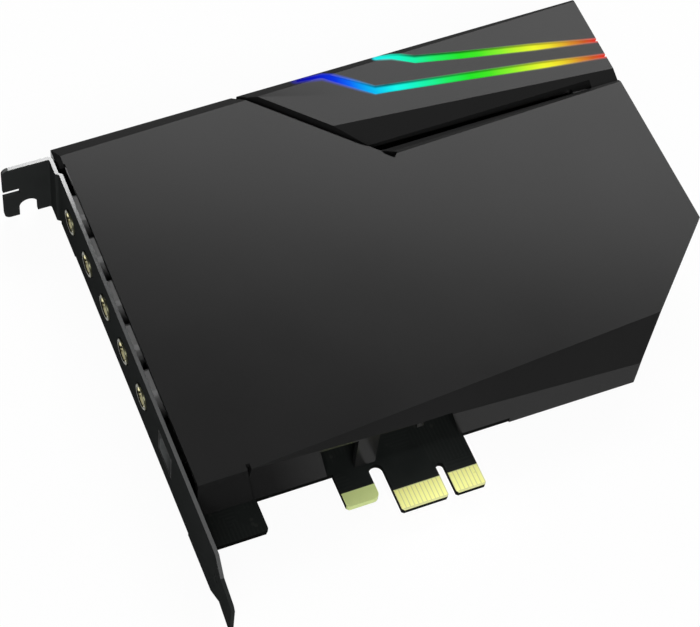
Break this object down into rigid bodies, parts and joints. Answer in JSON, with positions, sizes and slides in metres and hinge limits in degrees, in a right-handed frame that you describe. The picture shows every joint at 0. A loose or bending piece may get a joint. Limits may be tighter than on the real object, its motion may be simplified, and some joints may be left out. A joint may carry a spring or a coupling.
{
  "type": "plug-in sound card",
  "caption": "Plug-in computer sound card with a faceted dark cover, kinked light strips along its top edge, gold card-edge contacts and a slotted bracket with audio jacks and an optical outlet.",
  "frame": {"origin": "centre of the key notch on the card edge, at the board's mid-plane", "axes": "+X along the card away from the bracket, +Y away from the card edge, +Z the component side, up as it lies"},
  "size_m": [0.148, 0.1235, 0.0208],
  "materials": {
    "cover_plastic": "satin dark grey moulded plastic",
    "bracket_black": "satin black coat on steel",
    "screw_steel": "black zinc",
    "board_black": "black solder mask",
    "contact_gold": "gold plating",
    "bushing_gold": "gold plating",
    "jack_plastic": "dark grey moulded plastic",
    "shutter_plastic": "black moulded plastic",
    "pin_tin": "tinned pins",
    "guide_clear": "lit clear plastic",
    "lamp_white": "small lamps",
    "emitter_clear": "clear red plastic",
    "header_black": "black moulded plastic",
    "chip_black": "moulded chip",
    "film_red": "dipped film",
    "can_aluminium": "aluminium can",
    "relay_plastic": "pale moulded plastic",
    "core_grey": "pressed iron powder"
  },
  "bodies": {
    "card": {"main_cover": "cover_plastic", "light_cover": "cover_plastic", "bracket": "bracket_black", "bracket_screws": "screw_steel", "cover_screws": "screw_steel", "circuit_board": "board_black", "light_board": "board_black", "front_edge_contacts": "contact_gold", "back_edge_contacts": "contact_gold", "locating_tab_plating": "contact_gold", "jack_bushing_1": "bushing_gold", "jack_bushing_2": "bushing_gold", "jack_bushing_3": "bushing_gold", "jack_bushing_4": "bushing_gold", "jack_bushing_5": "bushing_gold", "audio_jack_1": "jack_plastic", "audio_jack_2": "jack_plastic", "audio_jack_3": "jack_plastic", "audio_jack_4": "jack_plastic", "audio_jack_5": "jack_plastic", "optical_socket": "jack_plastic", "jack_pins": "pin_tin", "optical_pins": "pin_tin", "shutter_pin": "pin_tin", "front_panel_pins": "pin_tin", "light_strip_pins": "pin_tin", "light_link_pins": "pin_tin", "light_guide_upper": "guide_clear", "light_guide_lower": "guide_clear", "light_emitters": "lamp_white", "optical_emitter": "emitter_clear", "light_link_header": "header_black", "front_panel_header": "header_black", "light_strip_header": "header_black", "audio_processor": "chip_black", "converter_chip": "chip_black", "amplifier_chips": "chip_black", "voltage_regulators": "chip_black", "film_capacitors": "film_red", "electrolytic_capacitors": "can_aluminium", "crystal_oscillators": "can_aluminium", "relays": "relay_plastic", "power_inductors": "core_grey"},
    "shutter": {"optical_shutter": "shutter_plastic"}
  },
  "joints": [
    {"name": "shutter_hinge", "type": "hinge", "parent": "card", "child": "shutter", "pos_m": [-0.0542, 0.0283, 0.00841], "axis": [0, -1, 0], "range_deg": [0, 80], "stiffness_Nm_per_rad": 0.0004, "springref_deg": -17.19}
  ]
}
